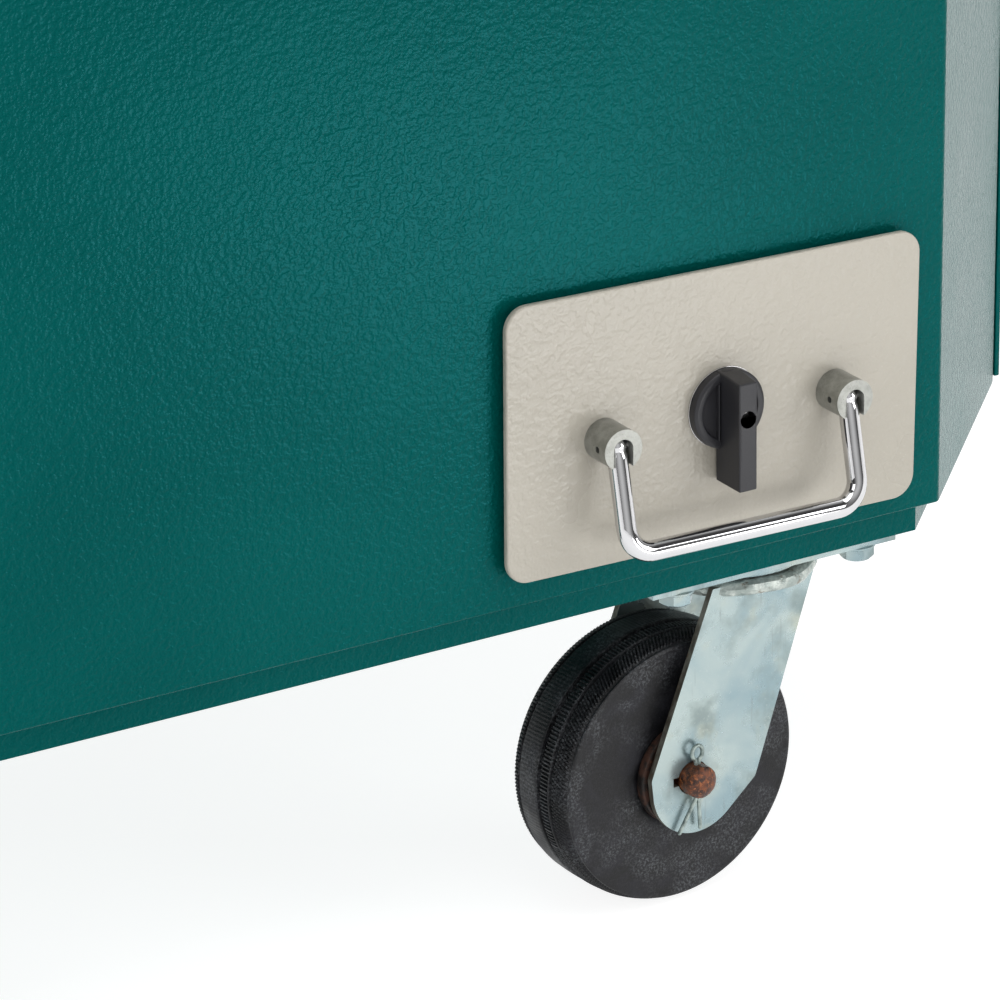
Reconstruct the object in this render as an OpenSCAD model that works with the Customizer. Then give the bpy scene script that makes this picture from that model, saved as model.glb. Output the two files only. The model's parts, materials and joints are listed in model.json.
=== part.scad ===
// Rolling tool chest: a folded sheet-steel body with chamfered corners on four rubber-tyred casters.
// Front is -Y, right end is +X, floor is Z = 0. All lengths are in millimetres.

/* [Body] */
// Width of the body over its end faces
body_w = 1040; // [960:10:1200]
// Depth of the body over its front and back faces
body_d = 640; // [620:10:760]
// Height of the body walls
body_h = 640; // [620:5:720]
// Run of the 45 degree corner faces along each wall
chamfer = 140; // [120:5:150]
// Sheet thickness of the body, lid and inner panels
sheet = 2; // [1.5:0.5:3]

/* [Plinth] */
// Height of the inset plinth under the body
plinth_h = 20; // [18:1:30]
// Inset of the plinth from every body face
plinth_inset = 13.5; // [10:0.5:20]
// Thickness of the plinth's bottom plate
plinth_plate = 4; // [3:0.5:5]

/* [Bay drawer] */
// Width of the small drawer's front plate
bay_w = 256; // [240:2:270]
// Height of the small drawer's front plate
bay_h = 152; // [145:1:160]
// Distance from the front's right-hand bend to the plate's centre
bay_from_bend = 150; // [145:1:200]
// Height of the plate's centre above the body's lower edge
bay_rise = 90.5; // [85:0.5:110]
// Depth of the small drawer's box
bay_depth = 300; // [240:10:340]
// Clockwise lean of the small front plate and its fittings, as screwed on
bay_tilt = 0.9; // [0:0.1:1.5]

/* [Wide drawers] */
// Width of a wide drawer's front plate
wide_w = 660; // [620:10:680]
// Height of a wide drawer's front plate
wide_h = 95; // [90:1:96]
// Height of the lower wide drawer's centre above the body's lower edge
wide_rise = 452.5; // [450:0.5:460]
// Distance between the two wide drawers' centres
wide_pitch = 110; // [106:1:112]
// Depth of a wide drawer's box
wide_depth = 460; // [400:10:480]

/* [Front plates] */
// Thickness of each drawer's front plate
plate_t = 4; // [3:0.5:5]
// Gap between a front plate and the body's face
plate_gap = 5; // [4:0.5:8]
// Corner radius of the front plates
plate_r = 13; // [8:1:18]
// How much smaller the wall opening is than its plate, on each side
plate_lap = 10; // [8:1:14]

/* [Bail handles] */
// Diameter of the bail's rod
rod_d = 11; // [8:0.5:12]
// Distance between the two ferrules of a bail
bail_span = 144; // [130:2:150]
// Distance from the pivot to the bar's centre line
bail_drop = 58; // [50:1:64]
// Angle that the hanging bail leans out from the plate
bail_lean = 14; // [8:1:20]
// Outer diameter of a ferrule
ferrule_d = 22.6; // [20:0.2:24]
// Length of a ferrule
ferrule_len = 20.5; // [19:0.5:24]
// How far the small drawer's ferrules sit below the plate's centre
ferrule_low = 4.5; // [0:0.5:8]
// How far the handle sits to the right of the drawer front's middle
ferrule_right = 1.7; // [0:0.1:4]

/* [Knob latch] */
// How far the knob sits right of the small plate's centre
knob_right = 4; // [0:0.5:6]
// How far the knob sits above the small plate's centre
knob_rise = -1; // [-2:0.1:2]
// Diameter of the knob's round base
knob_d = 44; // [40:1:46]
// Thickness of the knob's round base
knob_t = 5.5; // [4:0.5:7]
// Distance from the front plate to the end of the grip
knob_reach = 24; // [22:1:30]
// Width of the grip
grip_w = 11; // [9:0.5:13]
// Length of the grip above the knob's centre
grip_up = 22; // [18:1:22]
// Length of the grip below the knob's centre
grip_down = 40; // [34:1:42]
// Length of the small drawer's latch cam
cam_len = 76; // [74:1:78]

/* [Lid] */
// Depth of the lid's rim
lid_depth = 57; // [50:1:65]
// How far the rim hangs below the body's top edge
lid_lap = 12; // [8:1:16]
// Gap between the lid's rim and the body
lid_gap = 0.8; // [0.6:0.1:1.5]

/* [End door] */
// Height of the end door
door_h = 384; // [360:2:390]
// Width of the end door
door_w = 300; // [280:2:304]
// Thickness of the door over its folded edge
door_t = 3.5; // [3:0.5:5]

/* [Push handle] */
// Outer diameter of the push handle's tube
tube_d = 25; // [22:1:30]
// Distance between the push handle's two arms
push_span = 280; // [240:10:300]
// Distance from the end face to the tube's centre line
push_reach = 62; // [55:1:75]
// Height of the push handle's centre line above the floor
push_z = 764; // [704:10:784]

/* [Casters] */
// Outer diameter of the tyres
wheel_d = 160; // [156:1:162]
// Width of the tyres
wheel_w = 52; // [48:1:54]
// Height of a caster from the floor to the top of its plate
caster_h = 199; // [194:1:205]
// Distance from the swivel axis to the wheel's axle
trail = 52; // [46:1:56]
// Length of the mounting plate along the chest
plate_x = 158; // [150:1:160]
// Width of the mounting plate across the chest
plate_y = 96; // [94:1:97]
// Distance between mounting holes along the chest
hole_x = 118; // [112:1:120]
// Distance between mounting holes across the chest
hole_y = 78; // [74:1:80]
// Diameter of the mounting holes
hole_d = 10.5; // [10.2:0.1:11]
// Distance from the front's right-hand bend to the swivel axis
king_from_bend = 96; // [90:1:110]
// Distance from the front face to the swivel axis
king_from_front = 64; // [64:1:70]
// Radius of the fork's round crown
crown_r = 50; // [46:1:52]
// Diameter of the axle pin
axle_d = 19; // [16:0.5:20]
// Rest angle of the front right caster about its swivel axis
front_yaw = 4; // [0:1:10]
// Rest angle of the rear right caster about its swivel axis
rear_yaw = -9; // [-20:1:0]

/* [Hidden] */
$fn = 64;
// How far cutting solids run past what they cut, and a hair's overlap
cut = 1;
eps = 0.01;
// Radial clearance of turning fits, and the gap beside panels that only stand close
running_gap = 0.05;
fit_gap = 0.3;

// Body
bend_front = 4;
bend_end = 22;
bend_steps = 5;
body_z = caster_h + plinth_h;
top_z = body_z + body_h;
half_w = body_w / 2;
half_d = body_d / 2;
bend_x = half_w - chamfer;
front_y = -half_d;
plate_back = front_y - plate_gap;
plate_front = plate_back - plate_t;

// Drawer slides: a fixed C rail and the runner inside it
slide_gap = 13;
slide_start = 5;
rail_h = 30;
rail_d = 10;
rail_t = 1.5;
runner_play = 1;
runner_lip = 4;
runner_web_h = 22;
rail_short = 10;
runner_short = 20;

// Small drawer
box_t = 1.5;
box_play = 8;
bay_x = bend_x - bay_from_bend;
bay_z = body_z + bay_rise;
bay_hole_w = bay_w - 2 * plate_lap;
bay_hole_h = bay_h - 2 * plate_lap;
bay_box_w = bay_hole_w - 2 * slide_gap - 2 * runner_play;
bay_box_h = bay_hole_h - box_play;
case_x = bay_box_w / 2 + slide_gap;
case_back = front_y + bay_depth + 8;
case_top = bay_z + bay_hole_h / 2 + 14;

// Wide drawers
wide_z = [for (i = [0, 1]) body_z + wide_rise + i * wide_pitch];
wide_hole_w = wide_w - 4 * plate_lap;
wide_hole_h = wide_h - 1.2 * plate_lap;
wide_box_w = wide_hole_w - 2 * slide_gap - 2 * runner_play;
wide_box_h = wide_hole_h - box_play;
wide_ferrule_rise = 20;
carcass_x = wide_box_w / 2 + slide_gap;
carcass_back = 200;
shelf_z = body_z + 374;
tray_z = top_z - 17;

// Bail and ferrule
pivot_out = 13;
pivot_r = 1.8;
pivot_sunk = 4;
slot_w = rod_d + 0.8;
bail_bend = 14;

// Knob latch
washer_t = 1.4;
washer_over = 0.4;
knob_edge = 1;
spindle_r = 5;
spindle_in = 6;
barrel_r = 10;
cam_t = 3;
cam_w = 16;
nut_r = 8.2;
nut_t = 6;
screw_bore_r = 4.6;
screw_r = 3.4;
screw_well = 7;
screw_t = 3;
knob_face = -washer_t - knob_t;
knob_x = bay_x + knob_right;
knob_z = bay_z + knob_rise;
cam_y = plate_gap + plate_t + sheet + 0.5;

// Lid and hinges
lid_low = top_z - lid_lap;
hinge_w = 60;
leaf_h = 40;
knuckle_r = 5;
knuckle_split = 10;
knuckle_gap = 0.2;
outer_knuckles = [-hinge_w / 2, knuckle_split + knuckle_gap];
outer_len = hinge_w / 2 - knuckle_split - knuckle_gap;
hinge_pin_r = 2.5;
hinge_t = 2.5;
lid_axis_y = half_d + 9;
lid_axis_z = lid_low - 4;
lid_hinge_x = 250;

// End door
door_gap = 0.6;
door_front = front_y + chamfer + 1;
door_back = door_front + door_w;
door_low = body_z + 1;
door_face = half_w + door_gap + door_t;
door_axis_x = door_face + 1.5;
door_axis_y = door_back + 7;
door_hinge_z = [door_low + 60, door_low + door_h - 60];
door_hole_y = [door_front + 30, door_back - 20];
door_hole_z = [door_low + 30, door_low + door_h - 30];
door_knob_y = door_hole_y[0] + 36;
door_knob_z = door_low + 200;
door_cam_len = 46;
door_cam_y = door_face - half_w + sheet + 1;

// Push handle
push_bend = 24;
bracket_r = 27;
bracket_t = 6;
bracket_bolt_at = 20;
bracket_bolt_d = 9;

// Casters
axle_z = wheel_d / 2;
king_x = bend_x - king_from_bend;
king_y = half_d - king_from_front;
top_plate_t = 4;
race_t = 4;
race_r = 44;
race_gap = 0.4;
crown_t = 9;
crown_top = caster_h - top_plate_t - race_t;
leg_t = 4;
leg_in = wheel_w / 2 + 7;
leg_out = leg_in + leg_t;
leg_top = crown_top - 2;
axle_r = axle_d / 2;
axle_out = 12;
axle_head_t = 5;
hub_r = 30;
sleeve_r = 19;
tyre_edge = 3;
king_r = 8;
king_head_r = 13;
king_head_t = 9;
bolt_r = 5;
bolt_af = 17;
bolt_head = 6.4;
nut_h = 8;
cotter_r = 1.6;
cotter_wire_r = 1.2;
cotter_ring_r = 3.4;
cotter_leg = 19;
cotter_at = leg_out + 4;

// A swivel fork's leg from the side: its top edge, round toe, heel and knee
swivel_top = [-38, 33];
toe_r = 31;
toe = [-trail + 4, axle_z - 3];
heel = [-trail - 28, axle_z + 5];
knee = [-trail + 43, axle_z - 11];
// A rigid fork's leg
rigid_half = 38;
rigid_toe = [0, axle_z - 5];
bridge_t = 4.5;

// The row's origin is under the middle of the whole object, handles and knobs included.
reach_front = pivot_out + bail_drop * sin(bail_lean) + rod_d / 2 + plate_gap + plate_t;
reach_back = lid_axis_y + knuckle_r - half_d;
reach_left = push_reach + tube_d / 2;
reach_right = door_face - half_w + knob_reach;
shift_x = (reach_left - reach_right) / 2;
shift_y = (reach_front - reach_back) / 2;

green = [0.0, 0.38, 0.35];
beige = [0.77, 0.74, 0.68];
zinc = [0.68, 0.72, 0.72];
steel = [0.55, 0.56, 0.57];
chrome = [0.86, 0.87, 0.88];
charcoal = [0.17, 0.17, 0.18];
rubber = [0.1, 0.1, 0.11];
rust = [0.45, 0.22, 0.12];

// ---- outlines and plain solids ----

// Points of an arc that rounds the corner b between a and c with radius r.
function rounded(a, b, c, r) =
    let (u = (a - b) / norm(a - b), v = (c - b) / norm(c - b),
         half = acos(u * v) / 2, reach = r / tan(half),
         mid = (u + v) / norm(u + v), centre = b + mid * r / sin(half),
         from = b + u * reach - centre, turn = 180 - 2 * half,
         way = cross(u, v) > 0 ? -1 : 1)
    [for (i = [0 : bend_steps]) let (t = way * turn * i / bend_steps)
        centre + [from[0] * cos(t) - from[1] * sin(t), from[0] * sin(t) + from[1] * cos(t)]];

// Plan of the chest, grown outwards by g: each wall moves out and the bends follow it.
function plan(g = 0) =
    let (w = half_w + g, d = half_d + g, c = chamfer + g * (2 - sqrt(2)),
         p = [[-w + c, -d], [w - c, -d], [w, -d + c], [w, d - c],
              [w - c, d], [-w + c, d], [-w, d - c], [-w, -d + c]],
         r = [bend_front, bend_front, bend_end, bend_end,
              bend_front, bend_front, bend_end, bend_end])
    [for (i = [0 : 7]) each rounded(p[(i + 7) % 8], p[i], p[(i + 1) % 8], max(r[i] + g, 1))];

module prism(z0, z1, g = 0) translate([0, 0, z0]) linear_extrude(z1 - z0) polygon(plan(g));

// A box from its low corner to its high corner.
module block(a, b) translate(a) cube(b - a);

// A plate in the XZ plane with round corners, centred on [x, z], from y0 to y1.
module front_plate(x, z, w, h, y0, y1, r = plate_r) translate([x, y1, z]) rotate([90, 0, 0])
    linear_extrude(y1 - y0) union() {
        square([w - 2 * r, h], center = true);
        square([w, h - 2 * r], center = true);
        for (sx = [-1, 1], sz = [-1, 1]) translate([sx * (w / 2 - r), sz * (h / 2 - r)]) circle(r);
    }

// Round bars along Y, X and Z.
module rod_y(x, z, r, y0, y1, n = $fn)
    translate([x, y1, z]) rotate([90, 0, 0]) cylinder(y1 - y0, r, r, $fn = n);
module rod_x(y, z, r, x0, x1) translate([x0, y, z]) rotate([0, 90, 0]) cylinder(x1 - x0, r, r);
module rod_z(x, y, r, z0, z1) translate([x, y, z0]) cylinder(z1 - z0, r, r);

// ---- body ----

// An opening through the front wall, centred on [x, z].
module wall_hole(x, z, w, h)
    block([x - w / 2, front_y - cut, z - h / 2], [x + w / 2, front_y + 2 * sheet, z + h / 2]);

module body_shell() color(green) difference() {
    prism(body_z, top_z);
    prism(body_z + sheet, top_z + cut, -sheet);
    wall_hole(bay_x, bay_z, bay_hole_w, bay_hole_h);
    for (z = wide_z) wall_hole(0, z, wide_hole_w, wide_hole_h);
    block([half_w - 2 * sheet, door_hole_y[0], door_hole_z[0]],
          [half_w + cut, door_hole_y[1], door_hole_z[1]]);
}

module at_casters() for (sx = [-1, 1], sy = [-1, 1])
    translate([sx * king_x, sy * king_y, 0]) children();
module at_holes() for (sx = [-1, 1], sy = [-1, 1])
    translate([sx * hole_x / 2, sy * hole_y / 2, 0]) children();

module base_plinth() color(green) difference() {
    prism(caster_h, body_z, -plinth_inset);
    prism(caster_h + plinth_plate, body_z + cut, -plinth_inset - sheet);
    at_casters() at_holes() rod_z(0, 0, hole_d / 2, caster_h - cut, caster_h + plinth_plate + cut);
}

module inner_carcass() color(zinc) union() {
    prism(shelf_z, shelf_z + sheet, -sheet - fit_gap);
    for (s = [0, 1]) mirror([s, 0, 0])
        block([carcass_x, front_y + sheet + fit_gap, shelf_z],
              [carcass_x + sheet, carcass_back, tray_z]);
}

module top_tray() color(zinc) prism(tray_z, tray_z + sheet, -sheet - fit_gap);

module bay_case() color(zinc) translate([bay_x, 0, 0]) difference() {
    block([-case_x - sheet, front_y + sheet + fit_gap, body_z + sheet],
          [case_x + sheet, case_back + sheet, case_top]);
    block([-case_x, front_y, body_z], [case_x, case_back, case_top - sheet]);
}

// ---- slides: the rail's open side and the runner both point towards -X ----

module rail(len) difference() {
    block([-rail_d, 0, -rail_h / 2], [0, len, rail_h / 2]);
    block([-rail_d - cut, -cut, -rail_h / 2 + rail_t], [-rail_t, len + cut, rail_h / 2 - rail_t]);
}
module runner(len) {
    lip_h = rail_h - 2 * rail_t - 2 * runner_play;
    lip_x = -rail_t - runner_play;
    union() {
        block([-slide_gap, 0, -runner_web_h / 2], [lip_x - runner_lip + cut, len, runner_web_h / 2]);
        block([lip_x - runner_lip, 0, -lip_h / 2], [lip_x, len, lip_h / 2]);
    }
}
module pair_of(x) for (s = [0, 1]) mirror([s, 0, 0])
    translate([x, front_y + slide_start, 0]) children();

module drawer_rails() color(steel) {
    translate([bay_x, 0, bay_z]) pair_of(case_x) rail(bay_depth - rail_short);
    for (z = wide_z) translate([0, 0, z]) pair_of(carcass_x) rail(wide_depth - rail_short);
}

// ---- hinges: axis along X, fixed leaf below it, moving leaf above it ----

module hinge_base(back) difference() {
    union() {
        for (x = outer_knuckles) rod_x(0, 0, knuckle_r, x, x + outer_len);
        block([-hinge_w / 2, -back, -leaf_h], [hinge_w / 2, -back + hinge_t, -knuckle_r - 1]);
        for (x = outer_knuckles)
            block([x, -back, -knuckle_r - 2], [x + outer_len, 0, -knuckle_r + 2]);
    }
    rod_x(0, 0, hinge_pin_r, -hinge_w, hinge_w);
}
module hinge_leaf(back) difference() {
    union() {
        rod_x(0, 0, knuckle_r, -knuckle_split, knuckle_split);
        block([-hinge_w / 2, -back, knuckle_r + 2], [hinge_w / 2, -back + hinge_t, leaf_h - 2]);
        block([-knuckle_split, -back, knuckle_r - 2], [knuckle_split, 0, knuckle_r + 1]);
        block([-knuckle_split, -back, knuckle_r], [knuckle_split, -back + hinge_t, knuckle_r + 3]);
    }
    rod_x(0, 0, hinge_pin_r + running_gap, -hinge_w, hinge_w);
}
module hinge_pin() rod_x(0, 0, hinge_pin_r, -hinge_w / 2, hinge_w / 2);

module at_lid_hinges() for (s = [-1, 1])
    translate([s * lid_hinge_x, lid_axis_y, lid_axis_z]) children();
// The end door's hinges lie on the +X face, axis along Z and the moving leaf towards -Y.
module at_door_hinges() for (z = door_hinge_z) translate([door_axis_x, door_axis_y, z])
    multmatrix([[0, 1, 0, 0], [0, 0, -1, 0], [-1, 0, 0, 0], [0, 0, 0, 1]]) children();

module lid_hinge_bases() color(green) at_lid_hinges() hinge_base(lid_axis_y - half_d);
module lid_hinge_pins() color(steel) at_lid_hinges() hinge_pin();
module lid_hinge_leaves() color(green) at_lid_hinges()
    hinge_leaf(lid_axis_y - half_d - lid_gap - sheet);
module door_hinge_bases() color(green) at_door_hinges() union() {
    hinge_base(door_axis_x - half_w);
    hinge_pin();
}
module door_hinge_leaves() color(green) at_door_hinges() hinge_leaf(door_axis_x - door_face);

// ---- lid and end door ----

module lid() color(green) difference() {
    prism(lid_low, lid_low + lid_depth, lid_gap + sheet);
    prism(lid_low - cut, lid_low + lid_depth - sheet, lid_gap);
}

module end_door() color(green) difference() {
    block([half_w + door_gap, door_front, door_low], [door_face, door_back, door_low + door_h]);
    block([half_w, door_front + sheet, door_low + sheet],
          [door_face - sheet, door_back - sheet, door_low + door_h - sheet]);
    rod_x(door_knob_y, door_knob_z, barrel_r, half_w, door_face + cut);
}

// ---- knob latch: along -Y in front of a face at y = 0, the knob's centre on the axis ----

module knob_shape() difference() {
    union() {
        rod_y(0, 0, knob_d / 2 - knob_edge, knob_face, -washer_t);
        rod_y(0, 0, knob_d / 2, knob_face + knob_edge, -washer_t);
        block([-grip_w / 2, -knob_reach, -grip_down], [grip_w / 2, -washer_t - 1, grip_up]);
    }
    rod_y(0, 0, screw_bore_r, -knob_reach - cut, -knob_reach + screw_well);
    rod_y(0, 0, spindle_r, knob_face - spindle_in - 1, cut);
}
module cam_shape(len) difference() {
    union() {
        rod_y(0, 0, cam_w / 2, 0, cam_t);
        block([-len + cam_w / 2, 0, -cam_w / 2], [0, cam_t, cam_w / 2]);
        rod_y(-len + cam_w / 2, 0, cam_w / 2, 0, cam_t);
    }
    rod_y(0, 0, spindle_r, -cut, cam_t + cut);
}
module at_knob() translate([knob_x, plate_front, knob_z]) children();

module knob_washer() color(chrome) at_knob() difference() {
    rod_y(0, 0, knob_d / 2 + washer_over, -washer_t + 0.1, 0);
    rod_y(0, 0, barrel_r, -washer_t - cut, cut);
}
module knob() color(charcoal) at_knob() knob_shape();
module knob_screw() color(steel) at_knob()
    rod_y(0, 0, screw_r, -knob_reach + screw_well - screw_t, -knob_reach + screw_well);
module latch_barrel() color(zinc) at_knob() difference() {
    rod_y(0, 0, barrel_r, -washer_t + 0.2, cam_y - 0.4);
    rod_y(0, 0, spindle_r + running_gap, -washer_t - cut, cam_y);
}
module latch_spindle() color(steel) at_knob()
    rod_y(0, 0, spindle_r, knob_face - spindle_in, cam_y + cam_t + nut_t + 2);
module latch_cam() color(steel) at_knob() translate([0, cam_y, 0]) cam_shape(cam_len);
module cam_nut() color(zinc) at_knob() difference() {
    rod_y(0, 0, nut_r, cam_y + cam_t, cam_y + cam_t + nut_t, 6);
    rod_y(0, 0, spindle_r, cam_y, cam_y + cam_t + nut_t + cut);
}
module at_door_knob() translate([door_face, door_knob_y, door_knob_z]) rotate([0, 0, 90]) children();
module door_knob() color(charcoal) at_door_knob() knob_shape();
module door_cam() color(steel) at_door_knob() union() {
    translate([0, door_cam_y, 0]) rotate([0, -90, 0]) cam_shape(door_cam_len);
    rod_y(0, 0, spindle_r, knob_face - spindle_in, door_cam_y + cam_t + 4);
}

// ---- bail handles ----

// A ferrule on a face at y = 0: its slot takes the rod from hanging to level.
module ferrule() difference() {
    rod_y(0, 0, ferrule_d / 2, -ferrule_len, 0);
    block([-slot_w / 2, -ferrule_len - cut, -ferrule_d], [slot_w / 2, -pivot_out + slot_w / 2, 0]);
    rod_x(-pivot_out, 0, slot_w / 2, -slot_w / 2, slot_w / 2);
    rod_y(0, 0, slot_w / 2, -ferrule_len - cut, -pivot_out);
    rod_x(-pivot_out, 0, pivot_r, -ferrule_d, ferrule_d);
}
module pivot_pin()
    rod_x(-pivot_out, 0, pivot_r, -ferrule_d / 2 + pivot_sunk, ferrule_d / 2 - pivot_sunk);
module at_ferrules() for (s = [-1, 1]) translate([s * bail_span / 2, 0, 0]) children();

// Half of a bail: an arm from its pivot, a round bend, and the bar up to the middle.
module bail_half() {
    arm = bail_drop - bail_bend;
    translate([bail_span / 2, 0, 0]) difference() {
        union() {
            rod_z(0, 0, rod_d / 2, -arm, 0);
            rod_x(0, 0, rod_d / 2, -rod_d / 2, rod_d / 2);
        }
        rod_x(0, 0, pivot_r + running_gap, -rod_d, rod_d);
    }
    translate([bail_span / 2 - bail_bend, 0, -arm]) rotate([90, 0, 0]) rotate([0, 0, 270])
        rotate_extrude(angle = 90) translate([bail_bend, 0]) circle(d = rod_d);
    rod_x(0, -bail_drop, rod_d / 2, 0, bail_span / 2 - bail_bend);
}
module bail() translate([0, -pivot_out, 0]) rotate([-bail_lean, 0, 0]) union() {
    bail_half();
    mirror([1, 0, 0]) bail_half();
}

// ---- drawers ----

// An open-topped drawer box behind a front plate, centred on x = 0.
module drawer_box(w, h, depth, z, y0) difference() {
    block([-w / 2, y0, z - h / 2], [w / 2, y0 + depth, z + h / 2]);
    block([-w / 2 + box_t, y0 + box_t, z - h / 2 + box_t], [w / 2 - box_t, y0 + depth - box_t, z + h]);
}

// The small front plate and its handle lean a little about the plate's centre.
module tilted() translate([bay_x, 0, bay_z]) rotate([0, bay_tilt, 0]) children();

module bay_front() color(beige) difference() {
    tilted() front_plate(0, 0, bay_w, bay_h, plate_front, plate_back);
    rod_y(knob_x, knob_z, barrel_r, plate_front - cut, plate_back + cut);
}
module bay_box() color(zinc) difference() {
    translate([bay_x, 0, 0]) drawer_box(bay_box_w, bay_box_h, bay_depth, bay_z, plate_back);
    rod_y(knob_x, knob_z, barrel_r, plate_back - cut, plate_back + box_t + cut);
}
module bay_runners() color(steel)
    translate([bay_x, 0, bay_z]) pair_of(case_x) runner(bay_depth - runner_short);
module at_bay_bail() tilted() translate([ferrule_right, plate_front, -ferrule_low]) children();
module bay_ferrules() color(zinc) at_bay_bail() at_ferrules() ferrule();
module bay_pivot_pins() color(steel) at_bay_bail() at_ferrules() pivot_pin();
module bay_bail() color(chrome) at_bay_bail() bail();

module wide_front(i) color(beige)
    front_plate(0, wide_z[i], wide_w, wide_h, plate_front, plate_back);
module wide_box(i) color(zinc) union() {
    drawer_box(wide_box_w, wide_box_h, wide_depth, wide_z[i], plate_back);
    translate([0, 0, wide_z[i]]) pair_of(carcass_x) runner(wide_depth - runner_short);
}
module at_wide_bail(i) translate([0, plate_front, wide_z[i] + wide_ferrule_rise]) children();
module wide_ferrules(i) color(zinc) at_wide_bail(i) at_ferrules() union() {
    ferrule();
    pivot_pin();
}
module wide_bail(i) color(chrome) at_wide_bail(i) bail();

// ---- push handle ----

// Half of the handle: an arm out of its bracket, a round bend, and the bar up to the middle.
module push_half() {
    bar = push_span / 2 - push_bend;
    translate([-bracket_t, push_span / 2, 0]) rotate([0, -90, 0])
        cylinder(push_reach - push_bend - bracket_t, d = tube_d);
    translate([-push_reach + push_bend, bar, 0]) rotate([0, 0, 90])
        rotate_extrude(angle = 90) translate([push_bend, 0]) circle(d = tube_d);
    translate([-push_reach, -eps, 0]) rotate([-90, 0, 0]) cylinder(bar + eps, d = tube_d);
}
module push_handle() color(chrome) translate([-half_w, 0, push_z]) {
    push_half();
    mirror([0, 1, 0]) push_half();
}
module handle_brackets() color(zinc) for (s = [-1, 1])
    translate([-half_w, s * push_span / 2, push_z]) {
        rotate([0, -90, 0]) cylinder(bracket_t, bracket_r, bracket_r);
        for (a = [45 : 90 : 315]) rotate([a, 0, 0]) translate([-bracket_t - 2, 0, bracket_bolt_at])
            rotate([0, 90, 0]) cylinder(2.5, d = bracket_bolt_d, $fn = 6);
    }

// ---- casters: built with the swivel axis on Z and the wheel trailing towards -X ----

module hex_head(h, z) translate([0, 0, z]) cylinder(h, d = bolt_af / cos(30), $fn = 6);

module caster_plate() difference() {
    union() {
        block([-plate_x / 2, -plate_y / 2, caster_h - top_plate_t], [plate_x / 2, plate_y / 2, caster_h]);
        rod_z(0, 0, race_r, crown_top + race_gap, caster_h - cut);
    }
    at_holes() rod_z(0, 0, hole_d / 2, caster_h - top_plate_t - cut, caster_h + cut);
    rod_z(0, 0, king_r, crown_top - cut, caster_h + cut);
}
module kingpin() {
    head_top = crown_top - crown_t - race_gap;
    union() {
        rod_z(0, 0, king_r, head_top - cut, caster_h - 0.5);
        rod_z(0, 0, king_head_r, head_top - king_head_t, head_top);
    }
}
module plate_bolt() {
    plate_low = caster_h - top_plate_t;
    union() {
        hex_head(bolt_head, plate_low - bolt_head);
        rod_z(0, 0, bolt_r, plate_low - cut, caster_h + plinth_plate + nut_h);
    }
}
module plate_nut() difference() {
    hex_head(nut_h, caster_h + plinth_plate);
    rod_z(0, 0, bolt_r, caster_h, caster_h + plinth_plate + nut_h + cut);
}

// Tangent point on the circle (c, r) of the line from p; side picks the left or right one.
function tangent(p, c, r, side) =
    let (v = p - c, k = r / norm(v), a = acos(k) * side)
    c + k * [v[0] * cos(a) - v[1] * sin(a), v[0] * sin(a) + v[1] * cos(a)];

module swivel_outline() union() {
    polygon([[swivel_top[0], leg_top], heel, tangent(heel, toe, toe_r, 1), toe,
             tangent(knee, toe, toe_r, -1), knee, [swivel_top[1], leg_top]]);
    translate(toe) circle(toe_r);
}
module rigid_outline() union() {
    polygon([[-rigid_half, leg_top], tangent([-rigid_half, leg_top], rigid_toe, toe_r, 1), rigid_toe,
             tangent([rigid_half, leg_top], rigid_toe, toe_r, -1), [rigid_half, leg_top]]);
    translate(rigid_toe) circle(toe_r);
}
// Both legs of a fork, cut from flat bar to the outline drawn as its child.
module legs() for (y = [-leg_out, leg_in])
    translate([0, y + leg_t, 0]) rotate([90, 0, 0]) linear_extrude(leg_t) children();
module axle_bore(x) rod_y(x, axle_z, axle_r, -leg_out - cut, leg_out + cut);

module swivel_fork() difference() {
    union() {
        legs() swivel_outline();
        rod_z(0, 0, crown_r, crown_top - crown_t, crown_top);
    }
    rod_z(0, 0, king_r + running_gap, crown_top - crown_t - cut, crown_top + cut);
    axle_bore(-trail);
}
// A rigid fork has a flat bridge under the plate and its wheel below the plate's middle.
module rigid_fork() {
    bridge_top = crown_top + race_gap;
    difference() {
        union() {
            legs() rigid_outline();
            for (y = [-leg_out, leg_in])
                block([-rigid_half, y, leg_top - cut], [rigid_half, y + leg_t, bridge_top]);
            block([-rigid_half, -leg_out, bridge_top - bridge_t], [rigid_half, leg_out, bridge_top]);
        }
        axle_bore(0);
    }
}
module axle() translate([-trail, 0, axle_z]) difference() {
    union() {
        rod_y(0, 0, axle_r, -leg_out - axle_out, leg_out);
        rod_y(0, 0, axle_r + 4, leg_out, leg_out + axle_head_t);
    }
    rod_z(0, -cotter_at, cotter_r + 0.1, -axle_d, axle_d);
}
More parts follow.
